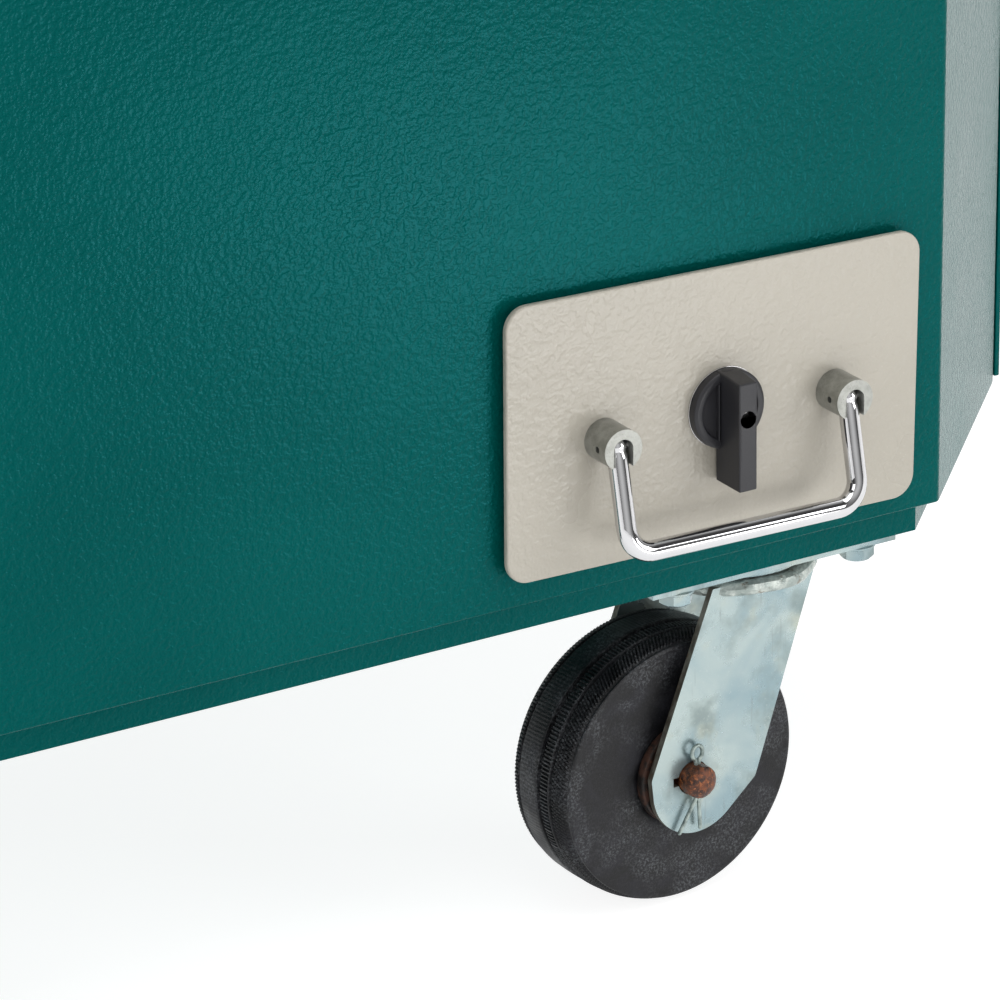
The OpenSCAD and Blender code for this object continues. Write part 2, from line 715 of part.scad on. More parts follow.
// Split pin through the axle's end: a ring on top and two legs that part below.
module cotter() translate([-trail, -cotter_at, axle_z]) union() {
    rod_z(0, 0, cotter_r, -axle_r - 1, axle_r + 2);
    translate([0, 0, axle_r + 5]) rotate([90, 0, 0])
        rotate_extrude() translate([cotter_ring_r, 0]) circle(cotter_wire_r);
    for (a = [28, -10]) translate([0, 0, -axle_r]) rotate([0, a, 0])
        rod_z(0, 0, cotter_wire_r, -cotter_leg, 0);
}
module tyre() translate([-trail, 0, axle_z]) difference() {
    union() {
        rod_y(0, 0, axle_z - 2, -wheel_w / 2, wheel_w / 2);
        rod_y(0, 0, axle_z, -wheel_w / 2 + tyre_edge, wheel_w / 2 - tyre_edge);
    }
    rod_y(0, 0, sleeve_r, -wheel_w, wheel_w);
}
module hub() translate([-trail, 0, axle_z]) difference() {
    union() {
        rod_y(0, 0, sleeve_r, -leg_in + 0.5, leg_in - 0.5);
        for (s = [0, 1]) mirror([0, s, 0]) rod_y(0, 0, hub_r, wheel_w / 2, leg_in - 2);
    }
    rod_y(0, 0, axle_r + running_gap, -leg_out, leg_out);
}
module at_front() translate([king_x, -king_y, 0]) rotate([0, 0, front_yaw]) children();
module at_rear() translate([king_x, king_y, 0]) rotate([0, 0, rear_yaw]) children();
module at_left(s) translate([-king_x, s * king_y, 0]) translate([trail, 0, 0]) children();
module at_both_left() for (s = [-1, 1]) at_left(s) children();

module caster_plates() color(zinc) at_casters() caster_plate();
module caster_kingpins() color(zinc) for (s = [-1, 1]) translate([king_x, s * king_y, 0]) kingpin();
module plate_bolts() color(zinc) at_casters() at_holes() plate_bolt();
module plate_nuts() color(zinc) at_casters() at_holes() plate_nut();
module rigid_forks() color(zinc) for (s = [-1, 1]) translate([-king_x, s * king_y, 0]) rigid_fork();
module rigid_axles() color(rust) at_both_left() axle();
module rigid_cotters() color(steel) at_both_left() cotter();
module zinc_fork() color(zinc) swivel_fork();
module rusty_axle() color(rust) axle();
module steel_cotter() color(steel) cotter();
module black_tyre() color(rubber) tyre();
module rusty_hub() color(rust) hub();

module placed() translate([shift_x, shift_y, 0]) children();

placed() body_shell();
placed() base_plinth();
placed() inner_carcass();
placed() top_tray();
placed() bay_case();
placed() drawer_rails();
placed() lid_hinge_bases();
placed() lid_hinge_pins();
placed() door_hinge_bases();
placed() caster_plates();
placed() caster_kingpins();
placed() plate_bolts();
placed() plate_nuts();
placed() push_handle();
placed() handle_brackets();
placed() rigid_forks();
placed() rigid_axles();
placed() rigid_cotters();
placed() lid();
placed() lid_hinge_leaves();
placed() bay_front();
placed() bay_box();
placed() bay_runners();
placed() knob_washer();
placed() latch_barrel();
placed() bay_ferrules();
placed() bay_pivot_pins();
placed() knob();
placed() knob_screw();
placed() latch_spindle();
placed() latch_cam();
placed() cam_nut();
placed() bay_bail();
placed() wide_front(1);  // wide_front_1
placed() wide_box(1);  // wide_box_1
placed() wide_ferrules(1);  // wide_ferrules_1
placed() wide_bail(1);  // wide_bail_1
placed() wide_front(0);  // wide_front_2
placed() wide_box(0);  // wide_box_2
placed() wide_ferrules(0);  // wide_ferrules_2
placed() wide_bail(0);  // wide_bail_2
placed() end_door();
placed() door_hinge_leaves();
placed() door_knob();
placed() door_cam();
placed() at_front() zinc_fork();  // fork_front
placed() at_front() rusty_axle();  // axle_front
placed() at_front() steel_cotter();  // cotter_front
placed() at_front() black_tyre();  // tyre_front
placed() at_front() rusty_hub();  // hub_front
placed() at_rear() zinc_fork();  // fork_rear
placed() at_rear() rusty_axle();  // axle_rear
placed() at_rear() steel_cotter();  // cotter_rear
placed() at_rear() black_tyre();  // tyre_rear
placed() at_rear() rusty_hub();  // hub_rear
placed() at_left(-1) black_tyre();  // tyre_left_front
placed() at_left(-1) rusty_hub();  // hub_left_front
placed() at_left(1) black_tyre();  // tyre_left_rear
placed() at_left(1) rusty_hub();  // hub_left_rear
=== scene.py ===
"""Looks of a rolling tool chest: hammered green sheet steel, pale drawer fronts, chrome bails and
zinc-plated casters with black rubber tyres. Lengths are in metres, and MM turns millimetres into them."""
import json
import math
from math import cos, hypot, pi, radians, sin

import bmesh
import bpy
from mathutils import Matrix, Vector, noise

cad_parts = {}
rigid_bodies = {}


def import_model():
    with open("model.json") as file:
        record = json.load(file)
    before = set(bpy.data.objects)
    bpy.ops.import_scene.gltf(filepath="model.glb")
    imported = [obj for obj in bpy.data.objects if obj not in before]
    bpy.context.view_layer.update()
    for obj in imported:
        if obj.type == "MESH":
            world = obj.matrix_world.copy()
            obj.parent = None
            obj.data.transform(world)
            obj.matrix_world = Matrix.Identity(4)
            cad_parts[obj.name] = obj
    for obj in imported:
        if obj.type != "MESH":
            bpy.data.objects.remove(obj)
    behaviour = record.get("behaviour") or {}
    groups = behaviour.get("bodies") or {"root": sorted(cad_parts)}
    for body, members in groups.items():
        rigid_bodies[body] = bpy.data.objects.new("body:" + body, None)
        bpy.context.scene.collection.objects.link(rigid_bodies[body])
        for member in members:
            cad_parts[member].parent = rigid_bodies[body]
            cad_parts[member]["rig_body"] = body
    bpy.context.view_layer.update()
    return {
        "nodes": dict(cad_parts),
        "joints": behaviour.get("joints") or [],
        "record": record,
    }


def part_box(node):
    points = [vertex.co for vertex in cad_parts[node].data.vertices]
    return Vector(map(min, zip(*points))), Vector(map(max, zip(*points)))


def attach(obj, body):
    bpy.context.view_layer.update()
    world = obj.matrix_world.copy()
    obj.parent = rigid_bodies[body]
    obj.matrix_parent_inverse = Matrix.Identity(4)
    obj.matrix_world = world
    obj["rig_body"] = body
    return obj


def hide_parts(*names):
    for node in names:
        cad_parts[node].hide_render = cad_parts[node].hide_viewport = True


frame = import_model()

MM = 0.001
JOINTS = {joint["name"]: joint for joint in frame["joints"]}


# ---------------------------------------------------------------- materials

class Paint:
    """Wires one procedural material. Patterns are measured in metres on the piece itself."""

    def __init__(self, name):
        self.material = bpy.data.materials.new(name)
        self.material.use_nodes = True
        self.nodes = self.material.node_tree.nodes
        self.links = self.material.node_tree.links
        self.shader = self.nodes["Principled BSDF"]
        self.place = self.nodes.new("ShaderNodeTexCoord").outputs["Object"]

    def fixed(self, **values):
        """Sets the shader's own sockets, such as metallic=1."""
        for key, value in values.items():
            self.shader.inputs[key.replace("_", " ").title().replace("Ior", "IOR")].default_value = value

    def feed(self, socket, value):
        if isinstance(value, bpy.types.NodeSocket):
            self.links.new(value, socket)
        elif isinstance(value, tuple):
            socket.default_value = (*value, 1.0)[:4]
        else:
            socket.default_value = value

    def stretched(self, stretch):
        mapping = self.nodes.new("ShaderNodeMapping")
        mapping.inputs["Scale"].default_value = stretch
        self.links.new(self.place, mapping.inputs["Vector"])
        return mapping.outputs["Vector"]

    def noise(self, size, detail=2.0, rough=0.5, stretch=(1, 1, 1), distortion=0.0):
        """Cloudy values from 0 to 1 with blobs about size across."""
        node = self.nodes.new("ShaderNodeTexNoise")
        self.links.new(self.stretched(stretch), node.inputs["Vector"])
        self.feed(node.inputs["Scale"], 1 / size)
        self.feed(node.inputs["Detail"], detail)
        self.feed(node.inputs["Roughness"], rough)
        self.feed(node.inputs["Distortion"], distortion)
        return node.outputs["Fac"]

    def cells(self, size, smooth=0.6, stretch=(1, 1, 1)):
        """Distance to the middle of soft cells about size across."""
        node = self.nodes.new("ShaderNodeTexVoronoi")
        node.feature = "SMOOTH_F1"
        self.links.new(self.stretched(stretch), node.inputs["Vector"])
        self.feed(node.inputs["Scale"], 1 / size)
        self.feed(node.inputs["Smoothness"], smooth)
        return node.outputs["Distance"]

    def remap(self, value, low, high, to_low=0.0, to_high=1.0):
        node = self.nodes.new("ShaderNodeMapRange")
        node.interpolation_type = "SMOOTHSTEP"
        for name, number in (("From Min", low), ("From Max", high), ("To Min", to_low), ("To Max", to_high)):
            self.feed(node.inputs[name], number)
        self.feed(node.inputs["Value"], value)
        return node.outputs["Result"]

    def maths(self, operation, a, b=0.0):
        node = self.nodes.new("ShaderNodeMath")
        node.operation = operation
        self.feed(node.inputs[0], a)
        self.feed(node.inputs[1], b)
        return node.outputs[0]

    def blend(self, amount, a, b):
        node = self.nodes.new("ShaderNodeMix")
        node.data_type = "RGBA"
        self.feed(node.inputs[0], amount)
        self.feed(node.inputs[6], a)
        self.feed(node.inputs[7], b)
        return node.outputs[2]

    def bump(self, height, distance, under=None):
        """Raises the surface by height, up to distance; under is the bump that it lies on."""
        node = self.nodes.new("ShaderNodeBump")
        self.feed(node.inputs["Distance"], distance)
        self.feed(node.inputs["Height"], height)
        if under is not None:
            self.links.new(under, node.inputs["Normal"])
        return node.outputs["Normal"]

    def done(self, colour, roughness, normal=None):
        self.feed(self.shader.inputs["Base Color"], colour)
        self.feed(self.shader.inputs["Roughness"], roughness)
        if normal is not None:
            self.links.new(normal, self.shader.inputs["Normal"])
        return self.material


def green_paint():
    """Glossy powder coat with a fine leathery orange peel."""
    p = Paint("green_paint")
    p.fixed(specular_ior_level=0.2, specular_tint=(0.05, 0.75, 0.9, 1))
    cloud = p.noise(0.16, 3)
    colour = p.blend(p.remap(cloud, 0.3, 0.7), (0.0, 0.062, 0.055), (0.0, 0.073, 0.065))
    fine = p.noise(0.0011, 2)
    colour = p.blend(p.remap(fine, 0.5, 0.8, 0, 0.22), colour, (0.002, 0.12, 0.11))
    colour = p.blend(p.remap(fine, 0.25, 0.45, 0.3, 0), colour, (0.0, 0.042, 0.036))
    blobs = p.noise(0.0027, 1.3, 0.5)
    normal = p.bump(p.remap(blobs, 0.3, 0.7), 0.0002)
    normal = p.bump(p.noise(0.0014, 1), 0.00006, normal)
    return p.done(colour, p.remap(cloud, 0.2, 0.8, 0.2, 0.27), normal)


def beige_paint():
    """Satin powder coat with a faint orange peel and a few pale specks."""
    p = Paint("beige_paint")
    p.fixed(specular_ior_level=0.4)
    cloud = p.noise(0.09, 3)
    colour = p.blend(p.remap(cloud, 0.3, 0.7), (0.39, 0.365, 0.312), (0.42, 0.393, 0.338))
    colour = p.blend(p.remap(p.noise(0.0009, 2), 0.62, 0.8, 0, 0.3), colour, (0.56, 0.53, 0.47))
    normal = p.bump(p.remap(p.noise(0.0036, 1.5), 0.3, 0.7), 0.00022)
    return p.done(colour, p.remap(cloud, 0.3, 0.7, 0.27, 0.34), normal)


def inner_steel():
    """Grey galvanised sheet inside the chest, with soft spangles and handling marks."""
    p = Paint("inner_steel")
    p.fixed(metallic=0.75)
    spangle = p.cells(0.014, 0.1)
    colour = p.blend(p.remap(spangle, 0.1, 0.6), (0.40, 0.42, 0.42), (0.50, 0.52, 0.52))
    colour = p.blend(p.remap(p.noise(0.11, 4), 0.5, 0.75, 0, 0.4), colour, (0.33, 0.33, 0.32))
    normal = p.bump(p.noise(0.0015, 2), 0.00003)
    return p.done(colour, p.remap(spangle, 0.0, 0.7, 0.38, 0.52), normal)


def bare_steel():
    """Plain ground steel, faintly oiled."""
    p = Paint("bare_steel")
    p.fixed(metallic=1.0)
    grain = p.noise(0.0012, 3, 0.6, (1, 0.06, 1))
    colour = p.blend(grain, (0.38, 0.38, 0.39), (0.55, 0.55, 0.55))
    return p.done(colour, p.remap(p.noise(0.012, 3), 0.3, 0.7, 0.26, 0.42), p.bump(grain, 0.00002))


def charcoal_plastic():
    """Moulded plastic with a fine satin texture and faint flow marks."""
    p = Paint("charcoal_plastic")
    p.fixed(specular_ior_level=0.4)
    flow = p.noise(0.009, 3, 0.5, (1, 1, 0.35))
    colour = p.blend(flow, (0.014, 0.014, 0.017), (0.024, 0.024, 0.028))
    grain = p.noise(0.00045, 2)
    return p.done(colour, p.remap(flow, 0.3, 0.7, 0.36, 0.46), p.bump(grain, 0.00003))


def chrome():
    """Bright chrome with the faintest haze."""
    p = Paint("chrome")
    p.fixed(metallic=1.0)
    haze = p.noise(0.02, 4)
    colour = p.blend(haze, (0.58, 0.58, 0.59), (0.7, 0.7, 0.71))
    return p.done(colour, p.remap(haze, 0.35, 0.75, 0.04, 0.09), p.bump(p.noise(0.004, 2), 0.000006))


def nickel():
    """Dull turned ferrules: grey, faintly pitted and cloudy."""
    p = Paint("nickel")
    p.fixed(metallic=0.75)
    cloud = p.noise(0.006, 4, 0.6)
    colour = p.blend(p.remap(cloud, 0.3, 0.7), (0.25, 0.255, 0.235), (0.36, 0.365, 0.34))
    pits = p.noise(0.0007, 3)
    colour = p.blend(p.remap(pits, 0.6, 0.75, 0, 0.5), colour, (0.09, 0.09, 0.08))
    return p.done(colour, p.remap(cloud, 0.3, 0.7, 0.3, 0.46), p.bump(pits, 0.00004))


def zinc_plate():
    """Bright zinc plating with bluish and straw-coloured clouds, specks and fine scratches."""
    p = Paint("zinc_plate")
    p.fixed(metallic=0.72)
    cloud = p.noise(0.045, 3, 0.5, distortion=0.6)
    colour = p.blend(p.remap(cloud, 0.35, 0.65), (0.27, 0.37, 0.4), (0.42, 0.5, 0.49))
    straw = p.remap(p.noise(0.028, 4, 0.6), 0.52, 0.72, 0, 0.45)
    colour = p.blend(straw, colour, (0.47, 0.45, 0.31))
    dull = p.remap(p.noise(0.03, 5, 0.6), 0.46, 0.68, 0, 0.75)
    colour = p.blend(dull, colour, (0.2, 0.25, 0.245))
    specks = p.remap(p.noise(0.0013, 3, 0.7), 0.6, 0.78, 0, 0.6)
    colour = p.blend(specks, colour, (0.68, 0.73, 0.71))
    scratch = p.remap(p.noise(0.0016, 2, 0.4, (1, 1, 0.05), 0.3), 0.66, 0.74, 0, 0.35)
    colour = p.blend(scratch, colour, (0.2, 0.23, 0.23))
    normal = p.bump(p.noise(0.006, 4, 0.6), 0.00008)
    return p.done(colour, p.remap(dull, 0, 0.6, 0.27, 0.45), normal)


def sheared_edge():
    """The cut edge of zinc-plated bar: thinly plated, dark and rust-stained."""
    p = Paint("sheared_edge")
    p.fixed(metallic=0.5)
    streak = p.noise(0.006, 4, 0.7, (1, 1, 0.3))
    colour = p.blend(p.remap(streak, 0.35, 0.65), (0.075, 0.065, 0.05), (0.2, 0.2, 0.17))
    colour = p.blend(p.remap(p.noise(0.004, 4, 0.7), 0.58, 0.72, 0, 0.7), colour, (0.16, 0.075, 0.035))
    return p.done(colour, p.remap(streak, 0.3, 0.7, 0.5, 0.65), p.bump(p.noise(0.0016, 3), 0.0002))


def crimped_zinc():
    """The fork's rolled crown: plated over a rough crimp, with slag and brown stains."""
    p = Paint("crimped_zinc")
    p.fixed(metallic=0.6)
    cloud = p.noise(0.01, 4, 0.6)
    colour = p.blend(p.remap(cloud, 0.35, 0.65), (0.3, 0.35, 0.33), (0.6, 0.64, 0.6))
    colour = p.blend(p.remap(p.noise(0.008, 4, 0.7), 0.54, 0.68, 0, 0.8), colour, (0.17, 0.125, 0.085))
    normal = p.bump(p.noise(0.0045, 4, 0.65), 0.0011)
    return p.done(colour, p.remap(cloud, 0.3, 0.7, 0.3, 0.5), normal)


def tyre_rubber():
    """Solid black rubber with scuffs and patches of grey dust."""
    p = Paint("tyre_rubber")
    p.fixed(specular_ior_level=0.3)
    mottle = p.noise(0.02, 5, 0.62, distortion=0.5)
    colour = p.blend(p.remap(mottle, 0.4, 0.7), (0.003, 0.003, 0.004), (0.013, 0.013, 0.017))
    patch = p.remap(p.noise(0.035, 3, 0.5, distortion=0.4), 0.42, 0.6, 0.08, 1)
    scuff = p.remap(p.noise(0.0016, 5, 0.8), 0.44, 0.66, 0, 0.85)
    colour = p.blend(p.maths("MULTIPLY", scuff, patch), colour, (0.1, 0.106, 0.115))
    specks = p.remap(p.noise(0.0007, 3, 0.7), 0.64, 0.76, 0, 0.4)
    colour = p.blend(specks, colour, (0.14, 0.145, 0.15))
    normal = p.bump(p.noise(0.0009, 3, 0.6), 0.00016)
    return p.done(colour, p.remap(mottle, 0.3, 0.7, 0.36, 0.6), normal)


def rusty_steel():
    """Steel that has lost its plating: orange rust over dark brown, with a few pale specks of bare steel painted light
    enough to stand for glints (painted highlights).
    """
    p = Paint("rusty_steel")
    p.fixed(metallic=0.35)
    patch = p.noise(0.0042, 5, 0.7)
    colour = p.blend(p.remap(patch, 0.4, 0.6), (0.03, 0.011, 0.006), (0.15, 0.046, 0.018))
    colour = p.blend(p.remap(p.noise(0.0024, 4, 0.7), 0.52, 0.68, 0, 0.8), colour, (0.42, 0.13, 0.035))
    # painted highlight: small pale specks painted into the colour as glints of light
    colour = p.blend(p.remap(p.noise(0.0012, 5, 0.8), 0.62, 0.74, 0, 0.7), colour, (0.5, 0.4, 0.34))
    normal = p.bump(p.noise(0.0022, 5, 0.7), 0.0004)
    return p.done(colour, p.remap(patch, 0.3, 0.7, 0.24, 0.6), normal)


def brown_hub():
    """The hub's flange: almost black, with brown rust in patches."""
    p = Paint("brown_hub")
    p.fixed(metallic=0.3)
    patch = p.noise(0.008, 5, 0.7)
    colour = p.blend(p.remap(patch, 0.42, 0.62), (0.009, 0.007, 0.006), (0.055, 0.022, 0.013))
    colour = p.blend(p.remap(p.noise(0.003, 4, 0.7), 0.6, 0.74, 0, 0.6), colour, (0.16, 0.06, 0.025))
    return p.done(colour, p.remap(patch, 0.3, 0.7, 0.4, 0.7), p.bump(p.noise(0.0018, 5, 0.7), 0.0003))


def dark_steel():
    """Dull plated wire and hardware."""
    p = Paint("dark_steel")
    p.fixed(metallic=0.85)
    cloud = p.noise(0.004, 4, 0.6)
    colour = p.blend(p.remap(cloud, 0.3, 0.7), (0.16, 0.20, 0.19), (0.40, 0.47, 0.44))
    return p.done(colour, p.remap(cloud, 0.3, 0.7, 0.32, 0.5), p.bump(p.noise(0.001, 3), 0.00005))


def floor_paint():
    """A plain pale light table: white, and faintly lit from below so that shadows stay soft."""
    p = Paint("floor_paint")
    p.fixed(emission_color=(1, 1, 1, 1), emission_strength=0.86, specular_ior_level=0.1)
    colour = p.blend(p.noise(0.5, 3), (0.4, 0.4, 0.4), (0.43, 0.43, 0.43))
    return p.done(colour, 0.8)


MATERIALS = {
    "green_paint": green_paint(), "beige_paint": beige_paint(), "inner_steel": inner_steel(),
    "bare_steel": bare_steel(), "charcoal_plastic": charcoal_plastic(), "chrome": chrome(),
    "nickel": nickel(), "zinc_plate": zinc_plate(), "tyre": tyre_rubber(),
    "rusty_steel": rusty_steel(), "dark_steel": dark_steel(),
}
CRIMPED = crimped_zinc()
SHEARED = sheared_edge()
HUB_BROWN = brown_hub()
SLOT_OF = {part["node"]: part["material_slot"] for part in frame["record"]["subparts"]}
BODY_OF = {node: obj["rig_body"] for node, obj in frame["nodes"].items()}


# ---------------------------------------------------------------- pieces

SMOOTH_BELOW = radians(32)


def piece(name, bm, node=None, matrix=None, slot=None, material=None, body=None, smooth=SMOOTH_BELOW,
          edge=None):
    """Turns bm into a shown piece that rides on node's body and stands for it, unless told otherwise.
    edge is the material of the faces that don't look along local Y."""
    slot = slot or SLOT_OF[node]
    bmesh.ops.recalc_face_normals(bm, faces=bm.faces)
    if edge:
        for face in bm.faces:
            face.material_index = 1 if abs(face.normal.y) < 0.3 else 0
    mesh = bpy.data.meshes.new(name)
    bm.to_mesh(mesh)
    bm.free()
    mesh.shade_smooth()
    mesh.set_sharp_from_angle(angle=smooth)
    mesh.materials.append(material or MATERIALS[slot])
    if edge:
        mesh.materials.append(edge)
    obj = bpy.data.objects.new(name, mesh)
    bpy.context.scene.collection.objects.link(obj)
    if matrix is not None:
        obj.matrix_world = matrix
    weights = obj.modifiers.new("even_normals", "WEIGHTED_NORMAL")
    weights.keep_sharp = True
    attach(obj, body or BODY_OF[node])
    if node:
        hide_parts(node)
    return obj


def soften(bm, width, segments=2, angle=radians(30), hollows=True):
    """Rounds every edge of bm that is sharper than angle; with hollows off, the inner corners stay sharp."""
    bm.normal_update()
    sharp = [e for e in bm.edges if e.is_manifold and e.calc_face_angle(0) > angle and (hollows or e.is_convex)]
    bmesh.ops.bevel(bm, geom=sharp, offset=width, offset_type="OFFSET", segments=segments,
                    profile=0.5, affect="EDGES", clamp_overlap=True)


def from_cad(node, join=True):
    """The node's own shape, with its triangles joined into flat faces unless join is off."""
    bm = bmesh.new()
    bm.from_mesh(frame["nodes"][node].data)
    bmesh.ops.remove_doubles(bm, verts=bm.verts, dist=0.01 * MM)
    if join:
        bmesh.ops.dissolve_limit(bm, angle_limit=radians(0.6), verts=bm.verts, edges=bm.edges)
    return bm


def rounded_copy(node, width, segments=2):
    """A piece with the node's shape whose edges are rounded by width."""
    bm = from_cad(node, join=node != "lid")
    soften(bm, width, segments, hollows=node != "lid")
    bmesh.ops.triangulate(bm, faces=[f for f in bm.faces if len(f.verts) > 4])
    return piece(node + "_finish", bm, node, smooth=radians(1) if node == "lid" else SMOOTH_BELOW)


def lathe(profile, steps=72, wobble=None):
    """Turns (radius, along) points round the Y axis. wobble(angle, index) is added to a point's radius."""
    bm = bmesh.new()
    rings = []
    for i, (radius, along) in enumerate(profile):
        if radius < 1e-9:
            rings.append([bm.verts.new((0, along, 0))])
            continue
        ring = []
        for k in range(steps):
            a = 2 * pi * k / steps
            r = radius + (wobble(a, i) if wobble else 0)
            ring.append(bm.verts.new((r * cos(a), along, r * sin(a))))
        rings.append(ring)
    for a, b in zip(rings, rings[1:]):
        for k in range(steps):
            n = (k + 1) % steps
            corners = [a[k % len(a)], a[n % len(a)], b[n % len(b)], b[k % len(b)]]
            bm.faces.new(list(dict.fromkeys(corners)))
    return bm


def extrude_outline(outline, low, high):
    """A solid from (x, z) points, between low and high along Y."""
    bm = bmesh.new()
    front = [bm.verts.new((x, low, z)) for x, z in outline]
    back = [bm.verts.new((x, high, z)) for x, z in outline]
    bm.faces.new(front)
    bm.faces.new(back[::-1])
    for i, corner in enumerate(front):
        j = (i + 1) % len(front)
        bm.faces.new((corner, back[i], back[j], front[j]))
    bmesh.ops.recalc_face_normals(bm, faces=bm.faces)
    return bm


def rounded_corners(points, radii, steps=6):
    """The closed outline with each corner turned by an arc of its own radius."""
    out = []
    for i, corner in enumerate(points):
        b = Vector(corner)
        u = (Vector(points[i - 1]) - b).normalized()
        v = (Vector(points[(i + 1) % len(points)]) - b).normalized()
        half = u.angle(v) / 2
        r = radii[i]
        if r <= 0 or half > radians(89.5):
            out.append(tuple(b))
            continue
        centre = b + (u + v).normalized() * (r / sin(half))
        start = b + u * (r / math.tan(half)) - centre
        end = b + v * (r / math.tan(half)) - centre
        turn = start.angle_signed(end)
        for k in range(steps + 1):
            spoke = start.copy()
            spoke.rotate(Matrix.Rotation(-turn * k / steps, 2))
            out.append(tuple(centre + spoke))
    return out


def boolean(bm, other, operation="DIFFERENCE"):
    """bm cut, joined or kept by the solid other."""
    objects = []
    for part in (bm, other):
        mesh = bpy.data.meshes.new("scratch")
        part.to_mesh(mesh)
        part.free()
        objects.append(bpy.data.objects.new("scratch", mesh))
        bpy.context.scene.collection.objects.link(objects[-1])
    cut = objects[0].modifiers.new("cut", "BOOLEAN")
    cut.operation = operation
    cut.solver = "EXACT"
    cut.object = objects[1]
    shaped = objects[0].evaluated_get(bpy.context.evaluated_depsgraph_get())
    result = bmesh.new()
    result.from_mesh(shaped.to_mesh())
    shaped.to_mesh_clear()
    for obj in objects:
        mesh = obj.data
        bpy.data.objects.remove(obj)
        bpy.data.meshes.remove(mesh)
    bmesh.ops.remove_doubles(result, verts=result.verts, dist=0.002 * MM)
    bmesh.ops.dissolve_limit(result, angle_limit=radians(0.6), verts=result.verts, edges=result.edges)
    return result


def cylinder(radius, low, high, x=0.0, z=0.0, steps=64):
    """A round bar along Y."""
    bm = lathe([(0, low), (radius, low), (radius, high), (0, high)], steps)
    bmesh.ops.translate(bm, verts=bm.verts, vec=(x, 0, z))
    bmesh.ops.recalc_face_normals(bm, faces=bm.faces)
    return bm


def brick(low, high):
    bm = bmesh.new()
    bmesh.ops.create_cube(bm, size=1)
    low, high = Vector(low), Vector(high)
    bmesh.ops.scale(bm, verts=bm.verts, vec=high - low)
    bmesh.ops.translate(bm, verts=bm.verts, vec=(low + high) / 2)
    return bm


def tube(path, radius, steps=24, flat=1.0, caps=True):
    """A round bar along path, with domed ends. radius may be a function of the distance walked."""
    bm = bmesh.new()
    points = [Vector(p) for p in path]
    tangents = []
    for i in range(len(points)):
        before, after = points[max(i - 1, 0)], points[min(i + 1, len(points) - 1)]
        tangents.append((after - before).normalized())
    side = tangents[0].orthogonal().normalized()
    walked, rings = 0.0, []

    def ring(centre, tangent, side, r):
        other = tangent.cross(side)
        return [bm.verts.new(centre + (side * cos(a) + other * sin(a) * flat) * r)
                for a in (2 * pi * k / steps for k in range(steps))]

    for i, (point, tangent) in enumerate(zip(points, tangents)):
        side = (side - tangent * side.dot(tangent)).normalized()
        if i:
            walked += (point - points[i - 1]).length
        r = radius(walked) if callable(radius) else radius
        if caps and i == 0:
            for a in (80, 60, 40, 20):
                rings.append(ring(point - tangent * r * sin(radians(a)), tangent, side, r * cos(radians(a))))
        rings.append(ring(point, tangent, side, r))
        if caps and i == len(points) - 1:
            for a in (20, 40, 60, 80):
                rings.append(ring(point + tangent * r * sin(radians(a)), tangent, side, r * cos(radians(a))))
    for a, b in zip(rings, rings[1:]):
        for k in range(steps):
            n = (k + 1) % steps
            bm.faces.new((a[k], a[n], b[n], b[k]))
    bm.faces.new(rings[0][::-1])
    bm.faces.new(rings[-1])
    return bm


def arc_path(points, radii, steps=12):
    """Straight runs through 3-D points, with round bends of the given radii at the inner ones."""
    out = [Vector(points[0])]
    for i in range(1, len(points) - 1):
        b = Vector(points[i])
        u = (Vector(points[i - 1]) - b).normalized()
        v = (Vector(points[i + 1]) - b).normalized()
        half = u.angle(v) / 2
        centre = b + (u + v).normalized() * (radii[i - 1] / sin(half))
        start = b + u * (radii[i - 1] / math.tan(half)) - centre
        end = b + v * (radii[i - 1] / math.tan(half)) - centre
        for k in range(steps + 1):
            out.append(centre + turn_between(start, end, k / steps))
    out.append(Vector(points[-1]))
    return out


def turn_between(start, end, t):
    """start turned towards end by the share t of the angle between them."""
    return Matrix.Rotation(start.angle(end) * t, 3, start.cross(end)) @ start


def merge(target, *others):
    """Adds the other solids to target as loose shells."""
    for other in others:
        mesh = bpy.data.meshes.new("scratch")
        other.to_mesh(mesh)
        other.free()
        target.from_mesh(mesh)
        bpy.data.meshes.remove(mesh)
    return target


def basis(origin, x_axis, y_axis):
    """A matrix with its X and Y axes along the given directions, at origin."""
    x, y = Vector(x_axis).normalized(), Vector(y_axis).normalized()
    z = x.cross(y)
    return Matrix(((x[0], y[0], z[0], origin[0]), (x[1], y[1], z[1], origin[1]),
                   (x[2], y[2], z[2], origin[2]), (0, 0, 0, 1)))


def middle(node):
    low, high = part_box(node)
    return (low + high) / 2


def size_of(node):
    low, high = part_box(node)
    return high - low


# ---------------------------------------------------------------- sheet metal

ROUNDING = {
    "body_shell": 1.6, "base_plinth": 1.2, "lid": 2.2, "end_door": 1.3, "bay_front": 1.1,
    "wide_front_1": 1.1, "wide_front_2": 1.1, "inner_carcass": 0.4, "top_tray": 0.6, "bay_case": 0.5,
    "bay_box": 0.4, "wide_box_1": 0.4, "wide_box_2": 0.4, "drawer_rails": 0.3, "bay_runners": 0.3,
    "lid_hinge_bases": 0.5, "lid_hinge_leaves": 0.5, "door_hinge_bases": 0.5, "door_hinge_leaves": 0.5,
    "lid_hinge_pins": 0.3, "handle_brackets": 0.8, "caster_plates": 0.7, "latch_barrel": 0.3,
    "latch_spindle": 0.4, "latch_cam": 0.4, "cam_nut": 0.4, "knob_washer": 0.3, "door_cam": 0.4,
    "push_handle": 0.4, "plate_nuts": 0.5, "caster_kingpins": 0.6, "bay_pivot_pins": 0.2,
    "bay_ferrules": 0.55, "wide_ferrules_1": 0.55, "wide_ferrules_2": 0.55, "knob_screw": 0.4,
}
for node, width in ROUNDING.items():
    rounded_copy(node, width * MM, 3 if width > 1 else 2)


# ---------------------------------------------------------------- bails

